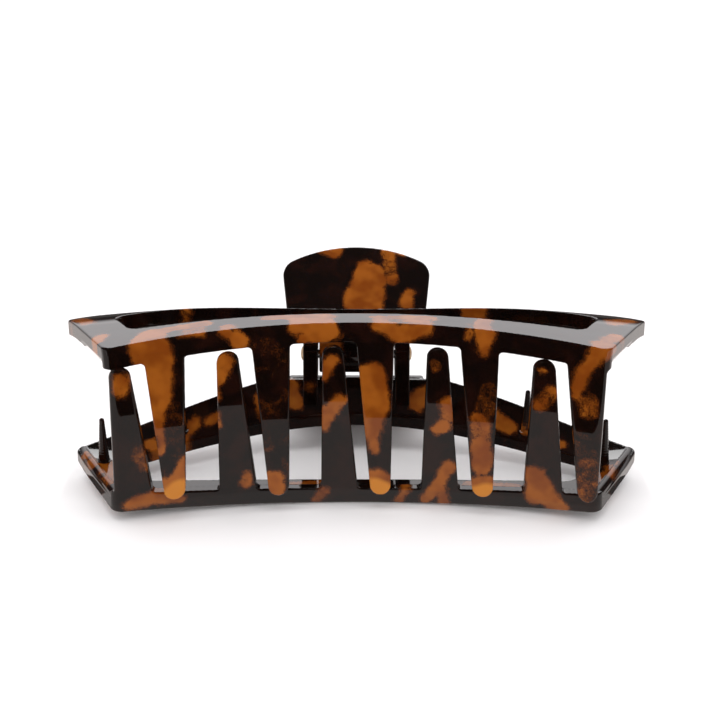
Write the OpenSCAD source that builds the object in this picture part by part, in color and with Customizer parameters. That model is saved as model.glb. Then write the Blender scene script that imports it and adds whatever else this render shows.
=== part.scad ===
// Hair claw clip: two arched, windowed jaws with crossing teeth and a fan
// lever each, closed by a torsion spring on a cross pin.
// Millimetres. +Z up, +Y towards the hinge, X along the hinge pin.
// Origin: the middle of the hinge pin. The jaws meet on the plane Z = 0.

/* [Overall] */

// Width of the clip from back corner to back corner
overall_width = 110; // [80:0.5:140]

// Height of a jaw's flat outer face above the meeting plane
jaw_height = 18.3; // [12:0.1:26]

// Distance from the hinge pin to the front crease, at the middle
reach = 32; // [22:0.5:45]

// Thickness of the acetate sheet the jaws are formed from
sheet = 2.4; // [1.6:0.1:4]

/* [Jaw curves] */

// Radius of the concave front edge, seen from above
front_radius = 132; // [100:1:200]

// Radius of the convex back edge, seen from above
back_radius = 87.6; // [70:0.1:120]

// Radius of the roll from the flat panel down to the hinge
roll_radius = 34; // [28:0.5:45]

// How far the flat of the panel runs back from the crease
flat_depth = 5; // [2:0.5:12]

// Radius of the gentle side-to-side arch of the panel
arch_radius = 500; // [300:10:2000]

// Angle of the side ends, from straight back
end_angle = 27; // [10:1:40]

// Height of the jaw wall's end above the hinge pin
wall_end = 4.7; // [4.4:0.1:6]

/* [Window] */

// Width of the front rail at the middle
front_rail = 5.55; // [4:0.05:12]

// Radius of the window's front edge
window_radius = 200; // [140:5:300]

// Width of the back rail, seen from above
back_rail = 7.4; // [4:0.1:12]

// Distance from a side end to the window, along X
side_rail = 8.4; // [5:0.1:16]

// Corner radius of the window
window_corner = 1.8; // [0.5:0.1:3]

/* [Skirt and teeth] */

// Height of the front skirt at the middle
skirt_height = 3.5; // [2.5:0.1:6]

// Forward lean of the skirt, per millimetre of height
skirt_lean = 0.31; // [0:0.01:0.5]

// Spacing of the teeth
tooth_pitch = 19.05; // [14:0.05:26]

// Width of a tooth where it leaves the skirt
tooth_root = 6.9; // [4:0.1:9]

// Width of a tooth at its rounded tip
tooth_tip = 3.9; // [2:0.1:6]

// Distance of a tooth's tip from the meeting plane, at the middle
tooth_reach = 14.9; // [10:0.1:20]

// How far a tooth leans forward from the skirt to its tip
tooth_sweep = 2.6; // [1.5:0.1:3.5]

// Thickness of a tooth at its tip
tip_thickness = 1.8; // [1.2:0.1:2.4]

/* [Levers] */

// Length of a lever from its root to the middle of its arc
lever_length = 22.2; // [14:0.1:30]

// Width of a lever at its root
lever_root = 27.4; // [18:0.2:32]

// Angle of a lever above the meeting plane
lever_angle = 33.5; // [30:0.5:55]

// Radius of a lever's arc end
lever_arc = 26; // [20:1:40]

/* [Hinge] */

// Diameter of the hinge pin
pin_diameter = 2; // [1.4:0.1:2.6]

// Radial running clearance of the barrel on the pin
pin_clearance = 0.05; // [0.01:0.01:0.1]

// Outer radius of the barrel and of the lugs
barrel_radius = 3.9; // [3.6:0.1:4.2]

// Half length of the barrel
barrel_half = 7.6; // [6:0.1:10]

// Thickness of a lug
lug_thickness = 3; // [2:0.1:4]

// Gap between the barrel and each lug
side_gap = 0.3; // [0.2:0.05:0.6]

// Height of a domed pin cap
cap_height = 0.55; // [0.3:0.05:1]

// Radius of a domed pin cap
cap_radius = 1.5; // [1.2:0.1:2.5]

/* [Spring] */

// Wire diameter of the torsion spring
wire = 0.9; // [0.6:0.05:1.2]

// Mean radius of the coil
coil_radius = 2.3; // [1.8:0.05:2.5]

// Number of coils
coils = 8; // [4:1:9]

// Length of a spring leg
leg_length = 10; // [6:0.5:14]

/* [Grip pegs] */

// Height of a grip peg above the jaw's inner face
peg_height = 8.9; // [5:0.1:11]

// Radius of a grip peg just above its foot
peg_radius = 1.05; // [0.7:0.05:1.5]

// Radius of a grip peg's rounded tip
peg_tip = 0.5; // [0.3:0.05:0.8]

// Radius of the bonded foot of a grip peg
foot_radius = 1.3; // [1.1:0.05:2]

/* [Hidden] */

$fn = 64;

tortoise = [0.16, 0.07, 0.03];
amber = [0.62, 0.36, 0.12];
clear_amber = [0.75, 0.55, 0.3];
steel = [0.75, 0.76, 0.78];

pin_radius = pin_diameter / 2;

// Centres of the front and back arcs, seen from above
front_centre = -reach - front_radius;
back_centre = -1 - back_radius;

// Where the flat of the panel ends and its roll begins
roll_start = -reach + flat_depth;

// Centre of the window's front arc and radius of its back arc
window_centre = -reach + front_rail - window_radius;
window_back = back_radius - back_rail;

// Point where an end meets the back arc, and the slope of the end
back_corner = overall_width / 2 + 0.2;
back_corner_y = back_centre + sqrt(pow(back_radius, 2) - pow(back_corner, 2));
end_slope = tan(end_angle);

// Half width between the ends at a given depth
function end_x(y) = back_corner + (y - back_corner_y) * end_slope;

// Depth at which a line parallel to an end crosses an arc
function cross_y(inset, centre, radius) =
  let (
    m = end_slope,
    q = end_x(0) - inset,
    a = 1 + m * m,
    b = m * q - centre,
    c = q * q + centre * centre - radius * radius
  )
  (-b + sqrt(b * b - a * c)) / a;

// Corner points of the outline and of the window, right-hand side
front_y = cross_y(0, front_centre, front_radius);
front_corner = [end_x(front_y), front_y];
rear_corner = [back_corner, back_corner_y];
window_front_y = cross_y(side_rail, window_centre, window_radius);
window_back_y = cross_y(side_rail, back_centre, window_back);
window_front_corner = [end_x(window_front_y) - side_rail, window_front_y];
window_back_corner = [end_x(window_back_y) - side_rail, window_back_y];

// Tangent angle of an arc about a centre on the Y axis
function tangent_at(p, centre) = atan2(p[0], p[1] - centre);

// Inner angles of the four kinds of corner
front_corner_angle = 90 + end_angle - tangent_at(front_corner, front_centre);
rear_corner_angle = 90 - end_angle + tangent_at(rear_corner, back_centre);
window_front_angle = 90 + end_angle
  - tangent_at(window_front_corner, window_centre);
window_back_angle = 90 - end_angle
  + tangent_at(window_back_corner, back_centre);

// Height of a lever's inner face above the pin, and where its root starts,
// both measured in the lever's own direction
lever_offset = barrel_radius + 0.3;
lever_start = 0.92;
// Direction of a spring leg: it meets the lever's inner face near its tip
leg_angle = lever_angle + 8;

// Half gap between the lugs' inner faces
lug_inner = barrel_half + side_gap;
lug_outer = lug_inner + lug_thickness;

// Corner cut: sharp corner at the origin, first edge along +X, second edge at
// the corner angle; leaves an edge of the given radius. Its end chords run on
// past the two edges.
module corner_cut(angle, radius) {
  run = radius / tan(angle / 2);
  steps = 5;
  sweep = 180 - angle;
  arc = [
    for (step = [0:steps])
      let (turn = 270 - sweep * step / steps)
      [run, radius] + radius * [cos(turn), sin(turn)]
  ];
  inner = [for (step = [1:steps - 1]) arc[step]];
  polygon(concat(
    [arc[0] * 2 - arc[1]],
    inner,
    [arc[steps] * 2 - arc[steps - 1]],
    [[-cos(angle / 2), -sin(angle / 2)] * 3]
  ));
}

// The same corner cut on both sides of the clip
module mirrored_corner(point, turn, angle, radius) {
  for (side = [0, 1])
    mirror([side, 0])
      translate(point)
        rotate(turn)
          corner_cut(angle, radius);
}

// Strip between the two side ends, each moved in by inset
module between_ends(inset) {
  polygon([
    [end_x(-60) - inset, -60],
    [end_x(10) - inset, 10],
    [-end_x(10) + inset, 10],
    [-end_x(-60) + inset, -60]
  ]);
}

// Region between a front arc about a centre and a back arc
module between_arcs(centre, front, back) {
  difference() {
    translate([0, back_centre])
      circle(r = back, $fn = 200);
    translate([0, centre])
      circle(r = front, $fn = 200);
  }
}

// Outline of a jaw seen from above
module outline() {
  difference() {
    intersection() {
      between_ends(0);
      between_arcs(front_centre, front_radius - 3, back_radius);
    }
    mirrored_corner(rear_corner, -90 - end_angle - rear_corner_angle + 0,
                    rear_corner_angle, 1);
  }
}

// Window seen from above
module window() {
  difference() {
    intersection() {
      between_ends(side_rail);
      between_arcs(window_centre, window_radius, window_back);
    }
    mirrored_corner(window_front_corner, 90 - end_angle,
                    window_front_angle, window_corner);
    mirrored_corner(window_back_corner, -90 - end_angle - window_back_angle,
                    window_back_angle, window_corner);
  }
}

// Turns a section drawn as [height, -depth] into a gently arched solid
module arched() {
  translate([0, 0, jaw_height - arch_radius])
    rotate([90, 0, 0])
      rotate([0, 0, 82])
        rotate_extrude(angle = 16, $fn = 1080)
          children();
}

// Section of everything under a jaw's outer face
module under_face(depth) {
  translate([arch_radius - roll_radius, -roll_start])
    circle(r = roll_radius - depth, $fn = 320);
  translate([arch_radius - roll_radius, -roll_start])
    square([roll_radius - depth, 30]);
}

// The solid under a jaw's outer face, down by depth
module under_face_solid(depth) {
  arched()
    intersection() {
      under_face(depth);
      translate([arch_radius - roll_radius, -20])
        square([roll_radius + 2, 65]);
    }
}

// The formed panel: flat at the front, rolled down towards the hinge
module panel() {
  difference() {
    intersection() {
      arched()
        difference() {
          intersection() {
            under_face(0);
            translate([arch_radius - roll_radius, -20])
              square([roll_radius + 2, 65]);
          }
          under_face(sheet);
        }
      translate([0, 0, wall_end])
        linear_extrude(height = 30)
          difference() {
            outline();
            translate([0, front_centre])
              circle(r = front_radius, $fn = 200);
          }
    }
    linear_extrude(height = 40)
      window();
  }
}

// Height of the skirt's lower edge at a distance from the middle
function skirt_edge(x) = jaw_height - skirt_height - x * x / 770;

// Height of a tooth's tip at a distance from the middle
function tip_height(x) = -tooth_reach + x * x / 1000;

// Left edge of a tooth's root
function root_left(index) = index * tooth_pitch - 0.15;

// Centre of a tooth's rounded tip
function tip_centre(index) =
  let (x = root_left(index) + tooth_root / 2 + 1.1)
  [x, tip_height(x) + tooth_tip / 2];

// Point on the skirt's lower edge
function edge_point(x) = [x, skirt_edge(x)];

// Arc points that round a corner between two neighbours
function rounded(before, corner, after, radius) =
  let (
    u = (before - corner) / norm(before - corner),
    v = (after - corner) / norm(after - corner),
    half = acos(u * v) / 2,
    centre = corner + (u + v) / norm(u + v) * radius / sin(half),
    start = corner + u * radius / tan(half) - centre,
    finish = corner + v * radius / tan(half) - centre,
    first = atan2(start[1], start[0]),
    raw = atan2(finish[1], finish[0]) - first,
    sweep = raw > 180 ? raw - 360 : raw < -180 ? raw + 360 : raw
  )
  [
    for (step = [0:4])
      let (turn = first + sweep * step / 4)
      centre + radius * [cos(turn), sin(turn)]
  ];

// Points of one tooth from its left root to its right root
function tooth_points(index) =
  let (
    left = edge_point(root_left(index)),
    right = edge_point(root_left(index) + tooth_root),
    tip = tip_centre(index),
    radius = tooth_tip / 2,
    before = index > -2
      ? edge_point(root_left(index - 1) + tooth_root)
      : left - [5, 1.6],
    after = index < 2
      ? edge_point(root_left(index + 1))
      : right + [5, -1.6]
  )
  concat(
    rounded(before, left, tip - [radius, 0], 0.8),
    [
      for (step = [0:12])
        tip + radius * [-cos(step * 15), -sin(step * 15)]
    ],
    rounded(tip + [radius, 0], right, after, 0.8)
  );

// Skirt and teeth, seen from the front
module curtain_face() {
  left = root_left(-2);
  right = root_left(2) + tooth_root;
  polygon(concat(
    [
      [70, jaw_height + 1],
      [-70, jaw_height + 1],
      [-70, skirt_edge(left) - (left + 70) * 0.1],
      edge_point(left) - [5, 0.6]
    ],
    [
      for (index = [-2:2])
        each tooth_points(index)
    ],
    [
      edge_point(right) + [5, -0.6],
      [70, skirt_edge(right) - (70 - right) * 0.1]
    ]
  ));
}

// The leaning, curved sheet that skirt and teeth are cut from
module curtain_sheet() {
  bend = jaw_height - skirt_height;
  bend_radius = front_radius - skirt_height * skirt_lean;
  translate([0, front_centre, 0])
    rotate_extrude($fn = 200)
      polygon([
        [front_radius + skirt_lean * 2, jaw_height + 2],
        [bend_radius, bend],
        [bend_radius - tooth_sweep, -16],
        [bend_radius - tooth_sweep + tip_thickness, -16],
        [bend_radius + sheet, bend],
        [front_radius + sheet + skirt_lean * 2, jaw_height + 2]
      ]);
}

// Skirt and teeth
module curtain() {
  intersection() {
    curtain_sheet();
    translate([0, -10, 0])
      rotate([90, 0, 0])
        linear_extrude(height = 50)
          curtain_face();
    translate([0, 0, -20])
      linear_extrude(height = 60)
        between_ends(0);
    union() {
      under_face_solid(0);
      translate([-60, -60, -20])
        cube([120, 60, 30]);
    }
  }
}

// Raised lip along one side end
module end_lip() {
  intersection() {
    translate([back_corner, back_corner_y, 0])
      rotate([0, 0, -end_angle])
        rotate([90, 0, 0])
          linear_extrude(height = 22)
            polygon([
              [0, 20],
              [0, jaw_height - 4.6],
              [-1, jaw_height - 6.2],
              [-1.8, jaw_height - 6.2],
              [-2.6, jaw_height - 3],
              [-2.6, 20]
            ]);
    under_face_solid(0);
    linear_extrude(height = 40)
      outline();
  }
}

// Rounds the leaning front corner
module front_corner_cut() {
  translate([front_corner[0], front_corner[1], jaw_height])
    rotate([0, 0, 90 - end_angle])
      rotate([0, -atan(skirt_lean), 0])
        translate([0, 0, -20])
          linear_extrude(height = 40)
            corner_cut(front_corner_angle, 2);
}

// Fan outline of a lever, root on the X axis
module lever_face() {
  flare = 0.11;
  half = lever_root / 2;
  centre = lever_length - lever_arc;
  norm = sqrt(1 + flare * flare);
  inward = [-1 / norm, flare / norm];
  along = [flare / norm, 1 / norm];
  offset_in = half / norm + centre * flare / norm;
  up = sqrt(pow(lever_arc, 2) - pow(offset_in, 2));
  corner = [0, centre] - inward * offset_in + along * up;
  angle = 90 + acos(offset_in / lever_arc);
  difference() {
    intersection() {
      translate([0, centre])
        circle(r = lever_arc, $fn = 128);
      polygon([
        [-half, 0],
        [half, 0],
        [half + 30 * flare, 30],
        [-half - 30 * flare, 30]
      ]);
    }
    for (side = [0, 1])
      mirror([side, 0])
        translate(corner)
          rotate(180 - atan(flare) + 90 - angle)
            corner_cut(angle, 2.5);
  }
}

// Thumb lever, leaning back from the top of the wall
module lever() {
  difference() {
    rotate([lever_angle, 0, 0])
      translate([0, lever_start, lever_offset])
        linear_extrude(height = sheet)
          lever_face();
    translate([-30, -20, -10])
      cube([60, 40, 10 + wall_end]);
    under_face_solid(sheet);
  }
}

// One jaw as it stands above the meeting plane
module jaw() {
  difference() {
    union() {
      panel();
      curtain();
      end_lip();
      mirror([1, 0, 0])
        end_lip();
      lever();
    }
    front_corner_cut();
    mirror([1, 0, 0])
      front_corner_cut();
  }
}

// Everything on the outer side of the lower jaw's inner face
module lower_wall_zone() {
  rotate([0, 180, 0])
    difference() {
      translate([-54, -50, 0])
        cube([108, 60, 30]);
      under_face_solid(sheet);
      translate([-55, -50, -1])
        cube([110, 70, 1 + wall_end]);
    }
}

module upper_jaw() {
  color(tortoise)
    jaw();
}

module lower_jaw() {
  color(tortoise)
    rotate([0, 180, 0])
      jaw();
}

// Hinge lug standing on the lower jaw's wall
module lug(side) {
  color(tortoise)
    difference() {
      translate([side < 0 ? -lug_outer : lug_inner, 0, 0])
        rotate([90, 0, 90])
          linear_extrude(height = lug_thickness)
            difference() {
              union() {
                circle(r = barrel_radius);
                polygon([
                  [-barrel_radius, 0],
                  [-7.2, -8.9],
                  [-6.4, -10],
                  [-2.6, -wall_end - 0.6],
                  [-2.6, -wall_end],
                  [0, -wall_end],
                  [2.8, -2.85],
                  [0, 0]
                ]);
              }
              circle(r = pin_radius);
            }
      lower_wall_zone();
    }
}

module lower_lug_left() {
  lug(-1);
}

module lower_lug_right() {
  lug(1);
}

// Barrel on the upper jaw: two bearing discs and a hood in front of the spring
module upper_barrel() {
  hood_back = -0.7;
  color(tortoise)
    difference() {
      union() {
        rotate([0, 90, 0])
          cylinder(h = 2 * barrel_half, r = barrel_radius, center = true);
        translate([-barrel_half, -2.6, 1])
          cube([2 * barrel_half, 2.6 + hood_back, wall_end - 1]);
      }
      rotate([0, 90, 0])
        cylinder(h = 30, r = pin_radius + pin_clearance, center = true);
      rotate([0, 90, 0])
        cylinder(h = 10, r = barrel_radius - 0.8, center = true);
      translate([-5, hood_back, -10])
        cube([10, 20, 20]);
    }
}

module hinge_pin() {
  color(steel)
    rotate([0, 90, 0])
      cylinder(h = 2 * lug_outer, r = pin_radius, center = true);
}

// Domed cap over one end of the pin
module pin_cap(side) {
  dome = (pow(cap_radius, 2) + pow(cap_height, 2)) / (2 * cap_height);
  color(clear_amber)
    mirror([side < 0 ? 1 : 0, 0, 0])
      translate([lug_outer, 0, 0])
        rotate([0, 90, 0])
          rotate_extrude($fn = 128)
            intersection() {
              translate([0, cap_height - dome])
                circle(r = dome, $fn = 256);
              square([cap_radius, cap_height]);
            }
}

module pin_cap_left() {
  pin_cap(-1);
}

module pin_cap_right() {
  pin_cap(1);
}

// Straight spring leg leaving the coil at the given angle
module spring_leg(angle, x) {
  start = [cos(angle + 90), sin(angle + 90)] * coil_radius;
  translate([x, start[0], start[1]])
    rotate([angle - 90, 0, 0]) {
      cylinder(h = leg_length, r = wire / 2);
      translate([0, 0, leg_length])
        sphere(r = wire / 2);
    }
}

// Torsion spring: close-wound coil with plain end turns, and two legs
module torsion_spring() {
  half = (coils - 1) * wire / 2;
  side = wire / 2 + 0.05;
  pitch = 2 * (half - side) / (coils - 2);
  turns = [
    for (index = [0:coils - 3])
      side - half + (index + 0.5) * pitch
  ];
  outer = [
    for (x = turns)
      for (step = [-3:3])
        [
          coil_radius + wire / 2 * cos(step * 25),
          x + pitch * 0.48 * sin(step * 25)
        ]
  ];
  inner = [for (point = outer) [2 * coil_radius - point[0], -point[1]]];
  thick = wire / 2 + 0.03;
  end_out = coil_radius + thick;
  end_in = coil_radius - thick;
  color(steel)
    union() {
      rotate([0, 90, 0])
        rotate_extrude($fn = 96)
          polygon(concat(
            [
              [end_out, -half - side],
              [end_out, -half + side]
            ],
            outer,
            [
              [end_out, half - side],
              [end_out, half + side],
              [end_in, half + side],
              [end_in, half - side]
            ],
            inner,
            [
              [end_in, -half + side],
              [end_in, -half - side]
            ]
          ));
      spring_leg(leg_angle, -half);
      mirror([0, 0, 1])
        spring_leg(leg_angle, half);
    }
}

// Tapered grip peg with a rounded foot, standing on the lower jaw
module grip_peg(x, y, floor_z) {
  top = peg_height - peg_tip;
  color(tortoise)
    difference() {
      translate([x, y, floor_z])
        union() {
          rotate_extrude($fn = 160)
            polygon([
              [0, -2.5],
              [foot_radius, -2.5],
              [foot_radius, 0.2],
              [foot_radius - 0.09, 0.42],
              [peg_radius, 0.7],
              [peg_tip, top],
              [0, top]
            ]);
          translate([0, 0, top])
            sphere(r = peg_tip, $fn = 96);
        }
      lower_wall_zone();
    }
}

module grip_peg_1() {
  grip_peg(-49.2, -23.8, -13.2);
}

module grip_peg_2() {
  grip_peg(-44.8, -32.8, -13.9);
}

module grip_peg_3() {
  grip_peg(-35.1, -13.3, -11.5);
}

module grip_peg_4() {
  grip_peg(34.2, -13.3, -11.6);
}

module grip_peg_5() {
  grip_peg(44.8, -32.8, -13.9);
}

module grip_peg_6() {
  grip_peg(48.2, -23.8, -13.3);
}

upper_jaw();
lower_jaw();
lower_lug_left();
lower_lug_right();
upper_barrel();
hinge_pin();
pin_cap_left();
pin_cap_right();
torsion_spring();
grip_peg_1();
grip_peg_2();
grip_peg_3();
grip_peg_4();
grip_peg_5();
grip_peg_6();
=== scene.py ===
import math

import bpy
import numpy as np
from mathutils import Matrix, Vector


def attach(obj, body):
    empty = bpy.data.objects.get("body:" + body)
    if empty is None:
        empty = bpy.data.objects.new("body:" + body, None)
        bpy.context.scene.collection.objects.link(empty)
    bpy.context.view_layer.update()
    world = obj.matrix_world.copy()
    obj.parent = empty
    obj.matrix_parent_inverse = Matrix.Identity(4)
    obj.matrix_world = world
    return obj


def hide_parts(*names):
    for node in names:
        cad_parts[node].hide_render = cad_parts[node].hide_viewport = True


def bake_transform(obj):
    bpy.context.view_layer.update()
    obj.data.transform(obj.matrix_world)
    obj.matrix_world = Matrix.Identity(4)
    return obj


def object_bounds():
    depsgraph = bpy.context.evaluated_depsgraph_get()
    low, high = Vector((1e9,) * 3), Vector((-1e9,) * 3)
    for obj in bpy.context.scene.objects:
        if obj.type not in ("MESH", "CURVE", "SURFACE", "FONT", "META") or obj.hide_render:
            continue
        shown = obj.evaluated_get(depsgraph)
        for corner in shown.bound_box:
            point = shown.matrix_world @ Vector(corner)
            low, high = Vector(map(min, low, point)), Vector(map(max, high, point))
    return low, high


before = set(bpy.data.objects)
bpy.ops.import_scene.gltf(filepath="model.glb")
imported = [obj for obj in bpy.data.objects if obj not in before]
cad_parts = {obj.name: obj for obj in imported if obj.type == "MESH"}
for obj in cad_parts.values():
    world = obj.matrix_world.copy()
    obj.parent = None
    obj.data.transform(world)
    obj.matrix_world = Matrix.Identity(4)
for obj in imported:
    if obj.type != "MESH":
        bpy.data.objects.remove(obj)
cad_box = [list(corner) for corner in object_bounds()]

MM = 0.001

# ---------------------------------------------------------------- jaw shape
# Sizes in millimetres, the same as the CAD's.
JAW_HEIGHT, SHEET = 18.3, 2.4
FRONT_R, FRONT_C = 132.0, -164.0
BACK_R, BACK_C = 87.6, -88.6
WINDOW_R, WINDOW_C, WINDOW_BACK_R = 200.0, -226.45, 80.2
ROLL_R, ROLL_Y, ARCH_R = 34.0, -27.0, 500.0
WALL_END = 4.7
END_ANGLE = math.radians(27)
CORNER_X = 55.2
CORNER_Y = BACK_C + math.sqrt(BACK_R ** 2 - CORNER_X ** 2)
SKIRT_HEIGHT, LEAN = 3.5, 0.31
PITCH, TOOTH_ROOT, TOOTH_TIP = 19.05, 6.9, 3.9
TIP_THICK, TOOTH_SWEEP = 1.8, 2.6
LEVER_ANGLE = math.radians(33.5)
LEVER_LENGTH, LEVER_ROOT, LEVER_ARC, LEVER_FLARE = 22.2, 27.4, 26.0, 0.11
LEVER_START, LEVER_OFFSET = 0.92, 4.2
TOOTH_START, TIP_SHIFT, TOOTH_REACH = -0.15, 1.1, 14.9
EDGE_BOW, TIP_BOW, DROP_END = 770, 1000, 16
SIDE_RAIL, WINDOW_CORNER = 8.4, 1.8
LIP_DEPTH, LIP_SHALLOW, LIP_SIDE, LIP_WIDTH = 6.2, 3.0, 4.6, 2.6
NOSE_CORNER, REAR_CORNER, LEVER_CORNER, ROOT_FILLET = 2.0, 1.0, 2.2, 0.8
BARREL_R, BARREL_HALF, BORE_R, HOLLOW_R = 3.9, 7.6, 1.05, 3.1
LUG_X, LUG_HALF = 9.4, 1.5
LUG_FOOT = [(-3.9, 0), (-7.2, -8.9), (-6.4, -10.0), (2.8, -2.8)]


def soft_max(a, b, r):
    """Intersection of two fields whose shared edge is rounded by r."""
    u = np.maximum(a + r, 0)
    v = np.maximum(b + r, 0)
    return np.minimum(np.maximum(a, b), -r) + np.sqrt(u * u + v * v)


def soft_min(a, b, r):
    """Union of two fields with a fillet of r."""
    return -soft_max(-a, -b, r)


def convex_field(points, py, pz):
    """Field of a convex polygon given anticlockwise."""
    field = np.full(py.shape, -1e9)
    for (ay, az), (by, bz) in zip(points, points[1:] + points[:1]):
        ey, ez = by - ay, bz - az
        size = math.hypot(ey, ez)
        field = np.maximum(field, ((py - ay) * ez - (pz - az) * ey) / size)
    return field


def skirt_edge(x):
    """Height of the skirt's lower edge."""
    return JAW_HEIGHT - SKIRT_HEIGHT - x * x / EDGE_BOW


def tooth_field(index, x, z):
    """One tooth with straight sides and a round tip, open into the skirt."""
    left = index * PITCH + TOOTH_START
    right = left + TOOTH_ROOT
    r = TOOTH_TIP / 2
    tip_x = left + TOOTH_ROOT / 2 + TIP_SHIFT
    tip_z = -TOOTH_REACH + tip_x * tip_x / TIP_BOW + r
    rise_l = (z - tip_z) / (skirt_edge(left) - tip_z)
    rise_r = (z - tip_z) / (skirt_edge(right) - tip_z)
    side_l = tip_x - r + (left - tip_x + r) * rise_l - x
    side_r = x - tip_x - r - (right - tip_x - r) * rise_r
    body = np.maximum(side_l, side_r) * 0.99
    return np.where(z < tip_z, np.hypot(x - tip_x, z - tip_z) - r, body)


def curtain_field(x, z):
    """Skirt and teeth, seen from the front."""
    field = skirt_edge(x) - z
    for index in range(-2, 3):
        field = soft_min(field, tooth_field(index, x, z), ROOT_FILLET)
    return field


def curtain_radii(z):
    """Outer and inner radius of the leaning curtain at each height."""
    bend_z = JAW_HEIGHT - SKIRT_HEIGHT
    bend_r = FRONT_R - SKIRT_HEIGHT * LEAN
    below = np.clip((bend_z - z) / (bend_z + DROP_END), -0.2, 1.2)
    ease = np.maximum(below, 0)
    outer = np.where(z > bend_z, FRONT_R + (z - JAW_HEIGHT) * LEAN, bend_r - TOOTH_SWEEP * ease)
    thick = SHEET - (SHEET - TIP_THICK) * ease
    return outer, outer + thick


def roll_field(x, y, z):
    """Distance above the arched, rolled outer face."""
    height = np.hypot(x, z - JAW_HEIGHT + ARCH_R) - ARCH_R + JAW_HEIGHT
    flat = height - JAW_HEIGHT
    rolled = np.hypot(y - ROLL_Y, height - JAW_HEIGHT + ROLL_R) - ROLL_R
    return np.where(y < ROLL_Y, flat, rolled)


def lever_field(x, y, z):
    """The fan-shaped finger lever, a flat slab."""
    along = y * math.cos(LEVER_ANGLE) + z * math.sin(LEVER_ANGLE)
    across = z * math.cos(LEVER_ANGLE) - y * math.sin(LEVER_ANGLE)
    slab = np.maximum(LEVER_OFFSET - across, across - LEVER_OFFSET - SHEET)
    v = along - LEVER_START
    norm = math.hypot(1, LEVER_FLARE)
    sides = (np.abs(x) - LEVER_ROOT / 2 - LEVER_FLARE * v) / norm
    arc = np.hypot(x, v - LEVER_LENGTH + LEVER_ARC) - LEVER_ARC
    fan = soft_max(sides, arc, LEVER_CORNER)
    fan = np.maximum(fan, -v)
    return soft_max(fan, slab, 0.45)


def jaw_field(x, y, z):
    """Signed distance to one jaw as it stands above the meeting plane."""
    ax = np.abs(x)
    top = roll_field(x, y, z)
    r_front = np.hypot(x, y - FRONT_C)
    r_back = np.hypot(x, y - BACK_C)
    outer, inner = curtain_radii(z)
    end = (ax - CORNER_X) * math.cos(END_ANGLE) - (y - CORNER_Y) * math.sin(END_ANGLE)
    front = outer - r_front
    # the thick body that the outer faces bound
    rim = soft_max(end, front, NOSE_CORNER)
    rim = soft_max(rim, r_back - BACK_R, REAR_CORNER)
    body = soft_max(top, rim, 0.32)
    # panel: a sheet under the outer face, with its window
    sheet = soft_max(-top - SHEET, WALL_END - z, 0.3)
    r_window = np.hypot(x, y - WINDOW_C)
    window = soft_max(WINDOW_R - r_window, r_back - WINDOW_BACK_R, WINDOW_CORNER)
    window = soft_max(window, end + SIDE_RAIL * math.cos(END_ANGLE), WINDOW_CORNER)
    sheet = soft_max(sheet, -window, 0.35)
    # skirt and teeth
    wall = soft_max(r_front - inner, curtain_field(x, z), 0.42)
    # lip along each end
    slant = ((-end) - LIP_WIDTH + (JAW_HEIGHT - LIP_SHALLOW - z) * 0.25) * 0.97
    outer_slant = (end * 1.6 + (JAW_HEIGHT - LIP_SIDE - z)) / math.hypot(1.6, 1)
    lip = soft_max(slant, outer_slant, 0.25)
    lip = soft_max(lip, JAW_HEIGHT - LIP_DEPTH - z, 0.3)
    shell = soft_min(soft_min(sheet, wall, 0.35), lip, 0.3)
    shell = soft_max(body, shell, 0.38)
    lever = lever_field(x, y, z)
    lever = np.maximum(lever, -(top + SHEET))
    lever = np.maximum(lever, WALL_END - z)
    return soft_min(shell, lever, 0.5)


def lug_field(side):
    """A round ear on a foot that beds on the lower jaw's wall."""

    def field(x, y, z):
        ear = np.hypot(y, z) - BARREL_R
        ear = soft_min(ear, convex_field(LUG_FOOT, y, z), 0.6)
        slab = np.abs(x - side * LUG_X) - LUG_HALF
        ear = soft_max(ear, slab, 0.35)
        wall = roll_field(-x, y, -z) + SHEET - 0.08
        return np.maximum(ear, np.minimum(wall, -WALL_END - z))

    return field


def barrel_field(x, y, z):
    """The barrel with its bore, its hood and the hollow that holds the coil."""
    r_pin = np.hypot(y, z)
    block = np.maximum(np.abs(y + 1.65) - 0.95, np.abs(z - 2.85) - 1.9)
    body = soft_min(r_pin - BARREL_R, block, 0.3)
    body = soft_max(body, np.abs(x) - BARREL_HALF, 0.3)
    body = soft_max(body, BORE_R - r_pin, 0.1)
    hollow = soft_max(np.abs(x) - 5, np.minimum(r_pin - HOLLOW_R, -0.7 - y), 0.1)
    return soft_max(body, -hollow, 0.15)


# ----------------------------------------------------------------- meshing
GRID_SHIFT, SLAB, SNAPS = 0.0137, 24, 3


def sample(field, axes):
    """Field values on a grid, worked out a slab at a time."""
    gx, gy, gz = axes
    values = np.empty((len(gx), len(gy), len(gz)), np.float32)
    for start in range(0, len(gx), SLAB):
        part = gx[start : start + SLAB]
        x, y, z = np.meshgrid(part, gy, gz, indexing="ij")
        values[start : start + SLAB] = field(x, y, z)
    return values


def gradient(field, p, step=0.02):
    """Gradient of a field at points, by central differences."""
    g = np.empty_like(p)
    for axis in range(3):
        d = np.zeros(3)
        d[axis] = step
        hi, lo = (p + d).T, (p - d).T
        g[:, axis] = (field(*hi) - field(*lo)) / (2 * step)
    return g


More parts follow.
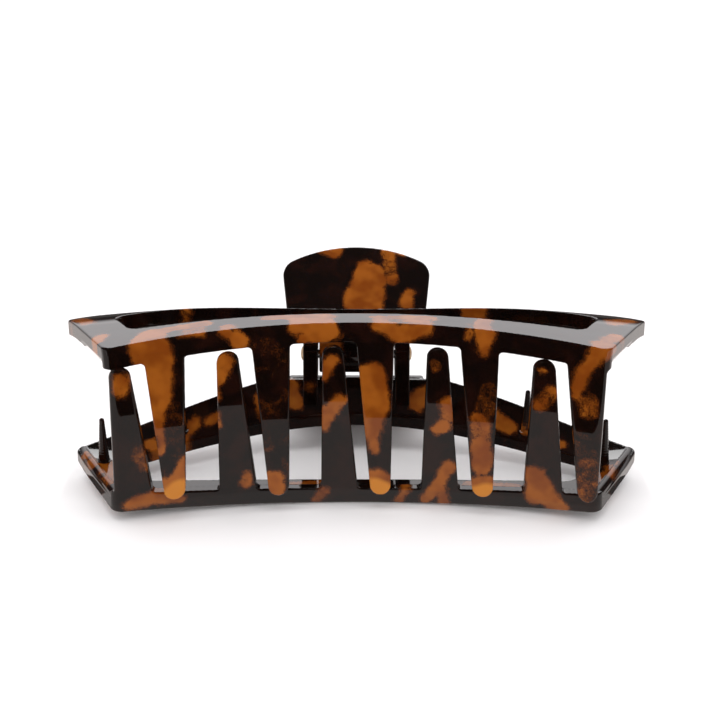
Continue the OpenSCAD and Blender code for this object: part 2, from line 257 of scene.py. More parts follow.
def surface_net(field, low, high, step):
    """Even quads over the zero surface of a field, snapped onto it, with normals."""
    axes = [np.arange(a, b + step, step) + GRID_SHIFT for a, b in zip(low, high)]
    values = sample(field, axes)
    inside = values < 0
    mixed = np.zeros(tuple(n - 1 for n in values.shape), bool)
    first = inside[:-1, :-1, :-1]
    corners = [(i, j, k) for i in (0, 1) for j in (0, 1) for k in (0, 1)]
    shape = mixed.shape
    for i, j, k in corners:
        mixed |= inside[i : i + shape[0], j : j + shape[1], k : k + shape[2]] != first
    cells = np.argwhere(mixed)
    total = np.zeros((len(cells), 3))
    count = np.zeros(len(cells))
    for a in corners:
        for axis in range(3):
            if a[axis]:
                continue
            b = list(a)
            b[axis] = 1
            va = values[tuple((cells + a).T)].astype(float)
            vb = values[tuple((cells + b).T)].astype(float)
            hit = (va < 0) != (vb < 0)
            t = np.where(hit, va / np.where(hit, va - vb, 1), 0)
            point = np.tile(np.array(a, float), (len(cells), 1))
            point[:, axis] = t
            total += point * hit[:, None]
            count += hit
    points = (cells + total / count[:, None]) * step + [a[0] for a in axes]
    lookup = np.full(shape, -1, np.int64)
    lookup[tuple(cells.T)] = np.arange(len(cells))
    faces = []
    for axis in range(3):
        u, v = (axis + 1) % 3, (axis + 2) % 3
        here = np.take(inside, range(inside.shape[axis] - 1), axis)
        there = np.take(inside, range(1, inside.shape[axis]), axis)
        cross = np.argwhere(here != there)
        keep = (cross[:, u] > 0) & (cross[:, v] > 0)
        keep &= (cross[:, u] < shape[u]) & (cross[:, v] < shape[v])
        cross = cross[keep]
        ring = []
        for du, dv in ((-1, -1), (0, -1), (0, 0), (-1, 0)):
            cell = cross.copy()
            cell[:, u] += du
            cell[:, v] += dv
            ring.append(lookup[tuple(cell.T)])
        quad = np.stack(ring, 1)
        outward = here[tuple(cross.T)]
        quad[~outward] = quad[~outward][:, ::-1]
        faces.append(quad)
    faces = np.concatenate(faces)
    for _ in range(SNAPS):
        g = gradient(field, points)
        size = np.maximum((g * g).sum(1), 0.25)
        move = np.clip(field(*points.T), -step, step) / size
        points = points - g * move[:, None]
    normals = gradient(field, points)
    normals /= np.maximum(np.linalg.norm(normals, axis=1), 1e-6)[:, None]
    return points, faces, normals


def turned(v):
    """Half a turn about the Y axis: the upper jaw's place to the lower jaw's."""
    return v * np.array([-1.0, 1.0, -1.0])


def piece(name, points, faces, normals=None):
    """A new smooth-shaded object from points in millimetres."""
    mesh = bpy.data.meshes.new(name)
    mesh.vertices.add(len(points))
    mesh.vertices.foreach_set("co", (np.asarray(points) * MM).ravel())
    faces = np.asarray(faces)
    mesh.loops.add(faces.size)
    mesh.polygons.add(len(faces))
    mesh.loops.foreach_set("vertex_index", faces.ravel())
    mesh.polygons.foreach_set("loop_start", np.arange(len(faces)) * faces.shape[1])
    mesh.update(calc_edges=True)
    mesh.polygons.foreach_set("use_smooth", np.ones(len(faces), bool))
    if normals is not None:
        mesh.normals_split_custom_set_from_vertices(normals)
    obj = bpy.data.objects.new(name, mesh)
    bpy.context.scene.collection.objects.link(obj)
    return obj


def add_piece(name, body, node, made):
    """A visual piece that rides a body and replaces a CAD node."""
    obj = piece(name, *made)
    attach(obj, body)
    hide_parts(node)
    return obj


# ------------------------------------------------------------ amber patches
# Each patch is a soft stroke in millimetres: start, end, the two half widths
# and the most it may reach (2 is bright amber, 1 is amber, about 0 is
# translucent brown and -1 is nearly black).
UPPER_FRONT = [
    (-37.6, 16.8, -36.4, 13.0, 3.2, 3.4, 1),
    (-36.4, 13.0, -36.2, 6.0, 3.4, 2.3, 1),
    (-36.3, 6.0, -36.6, 0.0, 1.8, 1.2, 0.7),
    (-36.4, 0.0, -36.0, -4.0, 1.1, 0.8, 0.3),
    (-34.2, -14.9, -32.4, -13.2, 5.0, 5.0, 2.2),
    (-33.2, -10.0, -31.8, -6.0, 1.6, 0.8, 1.1),
    (-35.0, 3.0, -34.0, -6.0, 2.6, 2.0, -0.5),
    (-31.5, 17.6, -28.0, 17.4, 0.7, 0.5, 0.4),
    (-24.0, 17.7, -21.2, 15.4, 1.1, 1.4, 0.9),
    (-16.2, 12.0, -15.8, -9.0, 3.6, 3.0, -0.62),
    (-15.6, -13.0, -15.5, -11.6, 2.4, 2.0, 1.05),
    (-11.2, 17.8, -5.0, 16.8, 1.2, 1.9, 0.9),
    (-10.0, 15.8, -6.0, 15.6, 0.9, 1.3, 0.8),
    (2.8, 8.2, 3.2, 3.0, 2.8, 2.9, 1),
    (3.2, 3.0, 2.6, -2.5, 2.7, 1.7, 0.9),
    (2.6, -2.5, 3.4, -6.0, 1.2, 0.8, 0.5),
    (4.6, -15.0, 3.2, -14.4, 4.6, 4.6, 2.0),
    (3.5, 18.0, 8.0, 16.4, 0.9, 1.6, 1),
    (8.0, 16.4, 12.6, 17.6, 1.7, 1.2, 1),
    (23.0, 17.4, 23.1, 14.0, 1.9, 1.0, 0.8),
    (20.4, 17.0, 20.0, 16.4, 0.7, 0.6, 0.2),
    (24.2, 6.5, 23.4, 3.0, 1.2, 1.2, -0.35),
    (22.4, 0.5, 23.0, -3.0, 1.6, 1.9, 0.25),
    (22.9, -4.0, 23.2, -8.0, 1.9, 1.9, 0.95),
    (23.0, -15.0, 24.4, -14.4, 4.6, 4.6, 2.0),
    (46.6, 16.2, 43.0, 15.6, 1.5, 1.4, 0.9),
    (43.0, 15.6, 40.4, 11.5, 1.5, 1.3, 0.9),
    (40.3, 11.5, 39.6, 7.5, 1.2, 1.0, 0.7),
    (41.4, 6.6, 41.9, 4.4, 1.6, 1.2, -0.15),
    (40.2, -1.0, 42.6, -4.0, 1.2, 1.6, -0.55),
    (42.2, -6.6, 42.5, -11.6, 1.9, 1.8, -0.12),
]
UPPER_PANEL = [
    (-38.0, -34.0, -28.0, -30.4, 1.8, 1.5, 0.8),
    (-16.0, -29.0, -5.5, -29.0, 1.6, 2.0, 0.8),
    (3.0, -29.5, 13.0, -29.5, 1.5, 2.0, 0.8),
    (23.0, -31.0, 24.0, -28.0, 1.6, 1.2, 0.7),
    (44.0, -37.5, 47.0, -33.0, 1.5, 1.5, 0.7),
    (-47.3, -36.0, -46.4, -33.6, 1.5, 1.3, 0.8),
    (-12.2, -3.4, -7.5, -2.6, 1.7, 1.9, 0.9),
    (0.6, -3.4, 3.0, -2.8, 1.5, 1.5, 0.9),
    (-33.5, -14.5, -31.5, -10.0, 1.4, 1.2, 0.8),
    (22.0, -12.0, 27.0, -9.5, 1.6, 2.2, 0.9),
    (48.0, -25.0, 51.5, -22.5, 1.8, 1.6, 0.7),
    (-50.5, -25.0, -52.5, -22.0, 1.4, 1.6, 0.6),
]
UPPER_LEVER = [
    (-7.6, 22.0, -4.8, 21.0, 1.3, 1.9, 0.9),
    (1.6, 17.0, 2.6, 14.0, 1.5, 3.0, 1),
    (2.6, 14.0, 1.6, 7.5, 3.6, 4.2, 1),
    (6.5, 22.4, 9.6, 20.6, 1.0, 0.9, 0.7),
    (6.6, 21.5, 7.4, 13.0, 1.3, 1.0, 0.15),
    (10.7, 9.6, 10.2, 7.0, 1.0, 1.3, 0.8),
]
LOWER_FRONT = [
    (-42.0, 10.6, -42.5, 8.8, 1.5, 1.3, 0.3),
    (-39.5, -4.0, -38.8, -7.0, 1.2, 1.0, -0.05),
    (-42.6, -15.0, -36.5, -13.8, 1.0, 1.9, 0.85),
    (-36.5, -13.8, -33.2, -14.8, 1.7, 1.0, 0.6),
    (-24.2, 12.6, -25.0, 9.6, 1.9, 1.5, 0.5),
    (-25.4, 9.2, -26.0, 6.0, 1.0, 0.8, 0.6),
    (-25.9, 2.0, -25.6, 0.0, 0.7, 0.6, 0.1),
    (-20.9, -12.6, -20.5, -11.0, 1.1, 0.8, 0.3),
    (-4.6, 12.4, -6.0, 9.0, 0.9, 0.7, 0.5),
    (-5.6, 1.4, -3.2, 4.2, 1.7, 1.2, 0.8),
    (-5.9, 0.0, -6.0, -1.6, 0.9, 0.5, 0.4),
    (-5.9, -15.0, -7.6, -17.2, 0.9, 0.9, 0.25),
    (14.2, 12.0, 14.3, 11.2, 0.5, 0.5, -0.2),
    (16.8, 3.8, 17.1, 1.6, 1.5, 1.6, 0.6),
    (16.2, -0.6, 14.8, -2.0, 1.3, 0.9, 0.7),
    (17.2, -9.4, 15.8, -13.0, 1.3, 1.2, 0.7),
    (15.8, -13.0, 13.0, -17.0, 1.4, 1.1, 0.8),
    (16.0, -14.0, 16.5, -17.6, 1.0, 0.9, 0.7),
    (9.3, -14.6, 8.2, -17.2, 0.8, 0.9, 0.6),
    (34.8, 7.6, 33.4, 5.2, 1.4, 1.2, 0.1),
    (33.2, 12.0, 33.2, 11.4, 0.4, 0.4, -0.1),
    (33.2, -9.6, 34.2, -13.4, 1.9, 2.7, 0.9),
    (34.2, -13.4, 38.0, -16.0, 2.5, 1.5, 0.9),
]
LOWER_PANEL = [
    (-48.6, -25.0, -45.6, -34.5, 1.9, 1.7, 0.9),
    (-40.5, -17.5, -37.5, -20.5, 1.6, 1.5, 0.8),
    (-34.5, -15.0, -32.5, -11.0, 1.3, 1.0, 0.7),
    (-30.0, -11.0, -26.5, -9.0, 1.0, 0.8, 0.7),
    (-20.0, -6.0, -19.0, -9.0, 1.0, 0.8, 0.5),
    (-14.0, -3.6, -12.4, -6.4, 1.6, 1.5, 0.7),
    (12.6, -6.4, 16.6, -5.0, 1.9, 1.6, 0.8),
    (27.0, -9.0, 31.0, -12.4, 1.8, 1.5, 0.9),
    (37.0, -15.0, 40.5, -17.4, 1.3, 1.2, 0.7),
    (47.4, -31.4, 49.4, -26.6, 1.5, 1.2, 0.9),
    (-52.5, -23.0, -50.0, -27.5, 1.2, 1.0, 0.3),
    (-12.0, -29.5, -4.0, -28.5, 1.5, 1.9, 0.8),
    (22.0, -30.0, 30.0, -31.5, 1.8, 1.4, 0.8),
]
LOWER_LEVER = [
    (-9.0, 19.5, -3.0, 16.0, 2.2, 2.8, 1),
    (6.0, 14.0, 8.5, 7.5, 2.4, 2.0, 0.9),
    (-3.0, 8.0, 1.0, 6.5, 1.6, 1.4, 0.7),
    (10.5, 20.0, 12.5, 17.0, 1.2, 1.4, 0.7),
]


NO_PATCH, FEATHER = -1.5, 1.1


def stroke_level(strokes, u, v):
    """How far inside the strokes each point is, from NO_PATCH up to a stroke's cap."""
    level = np.full(u.shape, NO_PATCH)
    for u0, v0, u1, v1, r0, r1, cap in strokes:
        eu, ev = u1 - u0, v1 - v0
        t = ((u - u0) * eu + (v - v0) * ev) / max(eu * eu + ev * ev, 1e-6)
        t = np.clip(t, 0, 1)
        gap = np.hypot(u - u0 - t * eu, v - v0 - t * ev)
        level = np.maximum(level, np.minimum((r0 + (r1 - r0) * t - gap) / FEATHER, cap))
    return level


def jaw_level(points, front, panel, lever):
    """Patch level over a jaw, from points in the upper jaw's place."""
    x, y, z = points.T
    r_front = np.hypot(x, y - FRONT_C)
    along = y * math.cos(LEVER_ANGLE) + z * math.sin(LEVER_ANGLE) - LEVER_START
    across = z * math.cos(LEVER_ANGLE) - y * math.sin(LEVER_ANGLE)
    on_lever = (y > -0.5) & (across > LEVER_OFFSET - 0.1)
    depth = r_front - FRONT_R - np.minimum(z - JAW_HEIGHT, 0) * 0.02
    share = np.clip((depth - 2.2) / 1.4, 0, 1)
    near = stroke_level(front, x, z)
    far = stroke_level(panel, x, y)
    level = near * (1 - share) + far * share
    return np.where(on_lever, stroke_level(lever, x, along), level)


def set_level(obj, values):
    """Hand the patch level to the material."""
    layer = obj.data.attributes.new("amber", "FLOAT", "POINT")
    layer.data.foreach_set("value", np.asarray(values, np.float32))


def ball_level(obj, balls):
    """Patch level on a small piece, from balls (x, y, z, radius, cap) in millimetres."""
    place = np.array([tuple(obj.matrix_world @ v.co) for v in obj.data.vertices]) / MM
    level = np.full(len(place), NO_PATCH)
    for x, y, z, radius, cap in balls:
        gap = np.linalg.norm(place - (x, y, z), axis=1)
        level = np.maximum(level, np.minimum((radius - gap) / FEATHER, cap))
    set_level(obj, level)


def ramp(value, low, high):
    """Smooth step from 0 at low to 1 at high."""
    t = np.clip((value - low) / (high - low), 0, 1)
    return t * t * (3 - 2 * t)


def thicker_ends(points):
    """The upper jaw's back rail, a little thicker underneath at its two ends."""
    x, y, z = points.T
    under = ramp(-roll_field(x, y, z), 0.8, 2.0)
    share = ramp(np.abs(x), 29, 37) * ramp(np.hypot(x, y - BACK_C), 79.0, 80.2)
    moved = points.copy()
    moved[:, 2] -= 0.6 * share * under
    return moved


def half_turn(strokes):
    """Strokes seen on the lower jaw's front, moved to the upper jaw's place."""
    return [(-a, -b, -c, -d, *rest) for a, b, c, d, *rest in strokes]


def mirrored(strokes):
    """Strokes seen from above on the lower jaw, moved to the upper jaw's place."""
    return [(-a, b, -c, d, *rest) for a, b, c, d, *rest in strokes]


STEP = 0.27
SMALL_STEP = STEP * 0.6

pieces = {}
jaw = surface_net(jaw_field, (-56.5, -46, -16), (56.5, 18.5, 19.5), STEP)
jaw_points, jaw_faces, jaw_normals = jaw
upper = (thicker_ends(jaw_points), jaw_faces, jaw_normals)
pieces["upper_jaw"] = add_piece("upper_jaw_shell", "upper", "upper_jaw", upper)
flipped = (turned(jaw_points), jaw_faces, turned(jaw_normals))
pieces["lower_jaw"] = add_piece("lower_jaw_shell", "lower", "lower_jaw", flipped)
set_level(pieces["upper_jaw"], jaw_level(jaw_points, UPPER_FRONT, UPPER_PANEL, UPPER_LEVER))
set_level(
    pieces["lower_jaw"],
    jaw_level(jaw_points, half_turn(LOWER_FRONT), mirrored(LOWER_PANEL), mirrored(LOWER_LEVER)),
)

for side, word in ((-1, "left"), (1, "right")):
    low, high = (side * LUG_X - 2.2, -9, -12), (side * LUG_X + 2.2, 5, 5)
    made = surface_net(lug_field(side), low, high, SMALL_STEP)
    node = "lower_lug_" + word
    pieces[node] = add_piece(node + "_body", "lower", node, made)
made = surface_net(barrel_field, (-8.5, -5, -5), (8.5, 5, 6), SMALL_STEP)
pieces["upper_barrel"] = add_piece("barrel_hood", "upper", "upper_barrel", made)


# ----------------------------------------------------- turned small pieces
def ring_faces(rings, count):
    """Quads between neighbouring rings of count points each."""
    faces = []
    for ring in range(rings - 1):
        for i in range(count):
            a = ring * count + i
            b = ring * count + (i + 1) % count
            faces.append((a, b, b + count, a + count))
    return np.array(faces)


def lathe(profile, count=40):
    """Points and quads for a closed profile of (radius, height) turned about Z."""
    points = []
    for r, h in profile:
        for i in range(count):
            turn = 2 * math.pi * i / count
            points.append((r * math.cos(turn), r * math.sin(turn), h))
    return np.array(points), ring_faces(len(profile), count)


PEG_HEIGHT, PEG_FOOT, PEG_R, PEG_TIP = 8.9, 1.3, 1.05, 0.5
PEG_ROOT, PEG_FOOT_TOP, PEG_FLARE_TOP = -1.2, 0.05, 0.8
RING_DEPTH, RING_STEPS, AXIS_GAP = 0.022, 56, 0.02


def peg_profile():
    """A tapered peg with a flared foot, fine rings and a round tip."""
    profile = [(AXIS_GAP, PEG_ROOT), (PEG_FOOT, PEG_ROOT), (PEG_FOOT, PEG_FOOT_TOP)]
    flare = PEG_FLARE_TOP - PEG_FOOT_TOP
    for i in range(7):
        turn = math.pi / 2 * i / 6
        r = PEG_FOOT - (PEG_FOOT - PEG_R) * math.sin(turn)
        profile.append((r, PEG_FOOT_TOP + flare * (1 - math.cos(turn))))
    top = PEG_HEIGHT - PEG_TIP
    for i in range(1, RING_STEPS + 1):
        t = i / RING_STEPS
        ring = RING_DEPTH * math.sin(math.pi / 2 * i) * (t < 0.95)
        r = PEG_R + (PEG_TIP - PEG_R) * t - RING_DEPTH + ring
        profile.append((r, PEG_FLARE_TOP + (top - PEG_FLARE_TOP) * t))
    for i in range(1, 9):
        turn = math.pi / 2 * i / 8
        profile.append((max(PEG_TIP * math.cos(turn), AXIS_GAP), top + PEG_TIP * math.sin(turn)))
    return profile


PEGS = [
    (-49.2, -23.8, -13.2),
    (-44.8, -32.8, -13.9),
    (-35.1, -13.3, -11.5),
    (34.2, -13.3, -11.6),
    (44.8, -32.8, -13.9),
    (48.2, -23.8, -13.3),
]
peg_points, peg_faces = lathe(peg_profile())
for number, place in enumerate(PEGS, 1):
    node = "grip_peg_%d" % number
    made = (peg_points + np.array(place), peg_faces)
    pieces[node] = add_piece(node + "_turned", "lower", node, made)

CAP_R, CAP_HEIGHT, LUG_FACE = 1.5, 0.55, 10.9
cap_profile = [(0.01, -0.02), (1.45, -0.02)]
for i in range(11):
    turn = math.pi / 2 * i / 10
    cap_profile.append((CAP_R * math.cos(turn) + 0.01, CAP_HEIGHT * math.sin(turn)))
cap_points, cap_faces = lathe(cap_profile)
cap_x, cap_y, cap_z = cap_points.T
for side, word in ((-1, "left"), (1, "right")):
    node = "pin_cap_" + word
    spun = np.stack([side * (LUG_FACE + cap_z), side * cap_x, cap_y], 1)
    pieces[node] = add_piece(node + "_dome", "lower", node, (spun, cap_faces))


# ------------------------------------------------------------------ spring
COIL_R, WIRE, WIRE_R, TURNS, LEG = 2.3, 0.9, 0.44, 7.0, 9.6
LEG_ANGLE = LEVER_ANGLE + math.radians(8)
LEG_STEPS, COIL_STEPS = 8, 260


def ray(angle):
    """Unit vector across the pin at an angle."""
    return np.array([math.cos(angle), math.sin(angle)])


def spring_path():
    """Left leg, close-wound coil and right leg, as points in millimetres."""
    half = TURNS * WIRE / 2
    start = LEG_ANGLE + math.pi / 2
    sweep = 2 * math.pi * (TURNS - 1) + (2 * math.pi - 2 * start)
    out = []
    for i in range(LEG_STEPS + 1):
        along = ray(LEG_ANGLE) * LEG * (1 - i / LEG_STEPS)
        out.append((-half, *(ray(start) * COIL_R + along)))
    for i in range(1, COIL_STEPS):
        t = i / COIL_STEPS
        out.append((-half + 2 * half * t, *(ray(start + sweep * t) * COIL_R)))
    for i in range(LEG_STEPS + 1):
        along = ray(-LEG_ANGLE) * LEG * i / LEG_STEPS
        out.append((half, *(ray(-start) * COIL_R + along)))
    return np.array(out)


def tube(path, radius, count=12):
    """A round wire along a path, with closed ends."""
    tangent = np.gradient(path, axis=0)
    tangent /= np.linalg.norm(tangent, axis=1)[:, None]
    side = np.cross(tangent[0], [1, 0, 0])
    rings = []
    for p, t in zip(path, tangent):
        side = side - t * side.dot(t)
        side /= np.linalg.norm(side)
        other = np.cross(t, side)
        turn = np.linspace(0, 2 * math.pi, count, endpoint=False)
        circle = np.outer(np.cos(turn), side) + np.outer(np.sin(turn), other)
        rings.append(p + radius * circle)
    first = path[0] + (rings[0] - path[0]) * 0.02
    last = path[-1] + (rings[-1] - path[-1]) * 0.02
    rings = [first] + rings + [last]
    return np.concatenate(rings), ring_faces(len(rings), count)


spring = piece("spring_wire", *tube(spring_path(), WIRE_R))
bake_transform(spring)
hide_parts("torsion_spring")
pieces["torsion_spring"] = spring


# --------------------------------------------------------------- materials
class Nodes:
    """Short-hand for building a node tree."""

    def __init__(self, tree):
        self.tree = tree

    def add(self, kind, links=None, **settings):
        node = self.tree.nodes.new(kind)
        for key, value in settings.items():
            setattr(node, key, value)
        for socket, source in (links or {}).items():
            target = node.inputs[socket]
            if isinstance(source, bpy.types.NodeSocket):
                self.tree.links.new(source, target)
            else:
                target.default_value = source
        return node

    def math(self, operation, a, b=0.0, c=None):
        links = {0: a, 1: b}
        if c is not None:
            links[2] = c
        return self.add("ShaderNodeMath", links, operation=operation).outputs[0]

    def noise(self, vector, scale, detail=3.0, rough=0.5, distortion=0.0):
        links = {"Vector": vector, "Scale": scale, "Detail": detail}
        links.update({"Roughness": rough, "Distortion": distortion})
        return self.add("ShaderNodeTexNoise", links).outputs["Fac"]

    def span(self, value, low, high, new_low=0.0, new_high=1.0):
        """Smooth step between two values."""
        links = {0: value, 1: low, 2: high, 3: new_low, 4: new_high}
        node = self.add("ShaderNodeMapRange", links, interpolation_type="SMOOTHSTEP")
        return node.outputs[0]

    def link(self, source, socket):
        self.tree.links.new(source, socket)

    def mix(self, factor, a, b):
        node = self.add("ShaderNodeMix", {0: factor}, data_type="RGBA")
        for index, source in ((6, a), (7, b)):
            if isinstance(source, bpy.types.NodeSocket):
                self.tree.links.new(source, node.inputs[index])
            else:
                node.inputs[index].default_value = (*source, 1)
        return node.outputs[2]


def new_material(name):
    """A material with its node helper, shader and object coordinates."""
    material = bpy.data.materials.new(name)
    material.use_nodes = True
    nodes = Nodes(material.node_tree)
    shader = material.node_tree.nodes["Principled BSDF"]
    place = nodes.add("ShaderNodeTexCoord").outputs["Object"]
    return material, nodes, shader, place


def tortoise_material():
    """Cast acetate: near-black brown with feathered amber patches, polished."""
    material, n, shader, place = new_material("tortoise_acetate")
    patch = n.add("ShaderNodeAttribute", attribute_name="amber").outputs["Fac"]
    broad = n.noise(place, 300, 3, 0.5, 0.8)
    fine = n.noise(place, 1300, 3, 0.6, 0.3)
    speck = n.noise(place, 4600, 2, 0.7)
    edge = n.math("MULTIPLY_ADD", broad, 1.5, n.math("MULTIPLY_ADD", patch, 0.8, -0.75))
    edge = n.math("MULTIPLY_ADD", fine, 0.5, n.math("SUBTRACT", edge, 0.25))
    share = n.span(edge, -0.75, 0.5)
    grain = n.math("MULTIPLY", share, n.math("SUBTRACT", 1.0, share))
    grain = n.math("MULTIPLY", grain, n.math("MULTIPLY_ADD", speck, 6.0, -3.0))
    share = n.math("ADD", share, grain)
    ruddy = n.span(n.noise(place, 170, 3, 0.6, 0.5), 0.42, 0.68)
    dark = n.mix(ruddy, (0.0042, 0.0021, 0.0016), (0.011, 0.0034, 0.0022))
    colour = n.mix(n.span(share, 0.08, 0.55), dark, (0.042, 0.0105, 0.0022))
    depth = n.span(n.noise(place, 190, 2, 0.5), 0.35, 0.65)
    warm = n.mix(depth, (0.165, 0.038, 0.0038), (0.27, 0.076, 0.008))
    warm = n.mix(n.span(patch, 1.0, 2.0), warm, (0.47, 0.17, 0.018))
    colour = n.mix(n.span(share, 0.5, 1.0), colour, warm)
    n.link(colour, shader.inputs["Base Color"])
    scuff = n.noise(place, 3000, 3, 0.6)
    n.link(n.span(scuff, 0.45, 0.8, 0.04, 0.11), shader.inputs["Roughness"])
    wave = n.noise(place, 90, 2, 0.4)
    bump = n.add("ShaderNodeBump", {"Height": wave, "Strength": 0.12, "Distance": 0.0004})
    n.link(bump.outputs[0], shader.inputs["Normal"])
    shader.inputs["IOR"].default_value = 1.49
    shader.inputs["Subsurface Weight"].default_value = 0.15
    shader.inputs["Subsurface Radius"].default_value = (1.0, 0.35, 0.08)
    shader.inputs["Subsurface Scale"].default_value = 0.001
    return material


def clear_material():
    """Pale amber resin, for the caps over the pin."""
    material, n, shader, place = new_material("clear_amber_resin")
    swirl = n.span(n.noise(place, 900, 3, 0.5), 0.3, 0.7)
    colour = n.mix(swirl, (0.45, 0.26, 0.12), (0.75, 0.55, 0.34))
    n.link(colour, shader.inputs["Base Color"])
    shader.inputs["Roughness"].default_value = 0.06
    shader.inputs["IOR"].default_value = 1.5
    return material


def steel_material():
    """Drawn steel wire."""
    material, n, shader, place = new_material("spring_steel")
    draw = n.noise(place, 2500, 3, 0.6)
    n.link(n.span(draw, 0.2, 0.8, 0.16, 0.34), shader.inputs["Roughness"])
    grey = n.mix(draw, (0.5, 0.5, 0.52), (0.68, 0.67, 0.66))
    n.link(grey, shader.inputs["Base Color"])
    shader.inputs["Metallic"].default_value = 1.0
    return material


# Balls of amber on the small pieces: place, radius and cap, in millimetres.
SMALL_PATCHES = {
    "lower_lug_left": [(-9.5, -3.5, -6.0, 2.2, 0.7)],
    "lower_lug_right": [(9.5, 1.5, 2.5, 2.0, 0.6)],
    "upper_barrel": [(-5.5, -3.0, 3.0, 2.6, 0.8), (3.5, 2.0, 2.5, 2.2, 0.6)],
    "grip_peg_2": [(-44.8, -32.8, -13.0, 1.8, 0.3)],
    "grip_peg_4": [(34.2, -13.3, -11.5, 1.5, 0.3)],
    "grip_peg_5": [(44.8, -32.8, -13.5, 3.0, 0.8)],
}
for node, obj in pieces.items():
    if node.startswith(("lower_lug", "upper_barrel", "grip_peg")):
        ball_level(obj, SMALL_PATCHES.get(node, []))

TORTOISE, CLEAR, STEEL = tortoise_material(), clear_material(), steel_material()
LOOK = {"torsion_spring": STEEL, "pin_cap_left": CLEAR, "pin_cap_right": CLEAR}
for node, obj in pieces.items():
    obj.data.materials.append(LOOK.get(node, TORTOISE))
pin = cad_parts["hinge_pin"]
pin.data.materials.clear()
pin.data.materials.append(STEEL)


# ------------------------------------------------------------ camera, light
def look(obj, direction, up):
    """Turn a camera or a lamp to face a direction."""
    z = -Vector(direction).normalized()
    x = Vector(up).cross(z).normalized()
    y = z.cross(x)
    m = Matrix((x, y, z)).transposed().to_4x4()
    m.translation = obj.location
    obj.matrix_world = m


TARGET = Vector((0.65, -15.73, 4.66)) * MM
DISTANCE, ELEVATION = 0.2938, math.radians(21.35)
YAW, ROLL = math.radians(0.39), math.radians(0.23)
level = math.cos(ELEVATION)
forward = Vector((math.sin(YAW) * level, math.cos(YAW) * level, -math.sin(ELEVATION)))
right = Vector((math.cos(YAW), -math.sin(YAW), 0))
upward = right.cross(forward)
upward = upward * math.cos(ROLL) - right * math.sin(ROLL)
camera_data = bpy.data.cameras.new("camera")
camera_data.lens = 75
camera_data.sensor_width = 36
camera_data.clip_start = 0.01
camera = bpy.data.objects.new("camera", camera_data)
bpy.context.scene.collection.objects.link(camera)
camera.location = TARGET - forward * DISTANCE
look(camera, forward, upward)
bpy.context.scene.camera = camera


def stage_mesh(name, points, faces):
    """A staged object and its plain shader."""
    mesh = bpy.data.meshes.new(name)
    mesh.from_pydata(points, [], faces)
    obj = bpy.data.objects.new(name, mesh)
    bpy.context.scene.collection.objects.link(obj)
    material = bpy.data.materials.new(name)
    material.use_nodes = True
    obj.data.materials.append(material)
    return obj, material.node_tree.nodes["Principled BSDF"].inputs


def mesh_card(name, points, faces, radiance, tint=(1, 1, 1)):
    """A glowing or black card that only reflections can see."""
    obj, shader = stage_mesh(name, points, faces)
    shader["Base Color"].default_value = (0, 0, 0, 1)
    shader["Specular IOR Level"].default_value = 0
    shader["Emission Color"].default_value = (*tint, 1)
    shader["Emission Strength"].default_value = radiance
    obj.visible_camera = False
    obj.visible_diffuse = False
    obj.visible_shadow = False
    obj.visible_transmission = False


def on_floor(outline):
    """Corners of an outline laid on the floor."""
    return [(x, y, FLOOR_Z) for x, y in outline]


FAR = 3
FLOOR_Z = cad_box[0][2] - 0.00005
FLOOR_CORNERS = on_floor([(-FAR, -FAR), (FAR, -FAR), (FAR, FAR), (-FAR, FAR)])
floor, floor_shader = stage_mesh("floor", FLOOR_CORNERS, [(0, 1, 2, 3)])
floor_shader["Base Color"].default_value = (0.93, 0.93, 0.93, 1)
floor_shader["Roughness"].default_value = 0.7
floor.visible_glossy = False

# What reflections see in place of the floor: outline in metres and brightness.
HALF, NEAR, BEHIND, WIDE, SPREAD = 0.057, -0.03, 0.02, 0.3, 1.5
FRONT_FLOOR = [(-FAR, -FAR), (FAR, -FAR), (WIDE, NEAR), (-WIDE, NEAR)]
LEFT_FLOOR = [
    (-FAR, -FAR),
    (-WIDE, NEAR),
    (-HALF, NEAR),
    (-HALF, BEHIND),
    (-SPREAD, FAR),
    (-FAR, FAR),
]
RIGHT_FLOOR = [(-x, y) for x, y in reversed(LEFT_FLOOR)]
BACK_FLOOR = [
    (-HALF, NEAR),
    (HALF, NEAR),
    (HALF, BEHIND),
    (SPREAD, FAR),
    (-SPREAD, FAR),
    (-HALF, BEHIND),
]
FLOOR_PARTS = {
    "front": (FRONT_FLOOR, 0.6),
    "left": (LEFT_FLOOR, 1.3),
    "right": (RIGHT_FLOOR, 1.3),
    "back": (BACK_FLOOR, 0.1),
}
FLOOR_TINT = (1, 0.93, 0.9)
for word, (outline, radiance) in FLOOR_PARTS.items():
    face = tuple(range(len(outline)))
    mesh_card("floor_glow_" + word, on_floor(outline), [face], radiance, FLOOR_TINT)


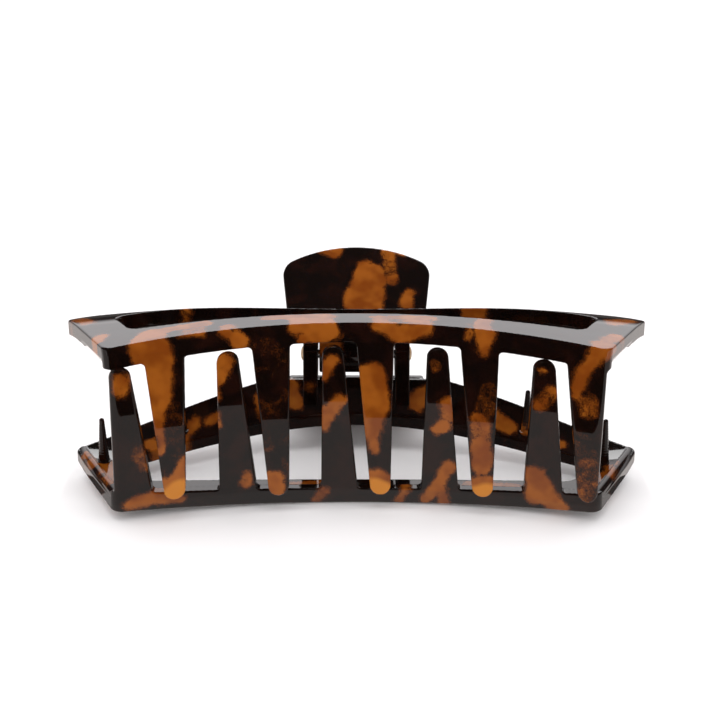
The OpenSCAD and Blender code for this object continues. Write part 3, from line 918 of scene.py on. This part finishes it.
def dark_flag():
    """A black card curved round the front."""
    count, low, high = 48, FLOOR_Z + 0.0165, FLOOR_Z + 0.35
    radius, reach = 0.1205, math.radians(33)
    points = []
    for i in range(count + 1):
        turn = -reach + 2 * reach * i / count
        x, y = radius * math.sin(turn), FRONT_C * MM + radius * math.cos(turn)
        points += [(x, y, low), (x * 1.6, y - 0.12, high)]
    faces = [(2 * i, 2 * i + 2, 2 * i + 3, 2 * i + 1) for i in range(count)]
    mesh_card("dark_flag", points, faces, 0.0)


def back_light():
    """A flat glowing card high behind the clip, facing it."""
    centre = Vector((0.0, 0.37, 0.38))
    z = centre.normalized()
    x = Vector((0, 0, 1)).cross(z).normalized()
    y = z.cross(x)
    w, h = 0.25, 0.05
    corners = [centre + x * a + y * b for a, b in ((-w, -h), (w, -h), (w, h), (-w, h))]
    mesh_card("back_light", corners, [(0, 1, 2, 3)], 7)


dark_flag()
back_light()

world = bpy.data.worlds.new("studio")
bpy.context.scene.world = world
world.use_nodes = True
w = Nodes(world.node_tree)
background = world.node_tree.nodes["Background"]
sky = w.add("ShaderNodeTexCoord").outputs["Generated"]
direction = w.add("ShaderNodeSeparateXYZ", {0: sky})
back = w.span(direction.outputs[1], 0.35, 0.75)
low = w.span(direction.outputs[2], 0.1, 0.26)
high = w.span(direction.outputs[2], 0.55, 0.75, 1.0, 0.0)
panel_light = w.math("MULTIPLY", w.math("MULTIPLY", back, low), high)
# Strength of the sky to soft light, to reflections and to the camera.
DOME, BACKDROP, BACK_PANEL, DARK_ROOM = 1.22, 1.1, 1.8, 0.04
mirrored_light = w.math("MULTIPLY_ADD", panel_light, BACK_PANEL, DARK_ROOM)
path = w.add("ShaderNodeLightPath").outputs
links = {0: path["Is Glossy Ray"], 2: DOME, 3: mirrored_light}
light = w.add("ShaderNodeMix", links).outputs[0]
links = {0: path["Is Camera Ray"], 2: light, 3: BACKDROP}
strength = w.add("ShaderNodeMix", links).outputs[0]
w.link(strength, background.inputs["Strength"])
background.inputs["Color"].default_value = (1, 0.97, 0.98, 1)


top_data = bpy.data.lights.new("top", "AREA")
top_data.shape = "RECTANGLE"
top_data.size, top_data.size_y = 0.7, 0.5
top_data.energy = 1.0
top = bpy.data.objects.new("top", top_data)
bpy.context.scene.collection.objects.link(top)
top.location = (0, -0.05, 0.6)
look(top, Vector((0, -0.02, 0)) - top.location, (0, 1, 0.1))
top.visible_glossy = False

view = bpy.context.scene.view_settings
view.view_transform = "Standard"
view.look = "None"
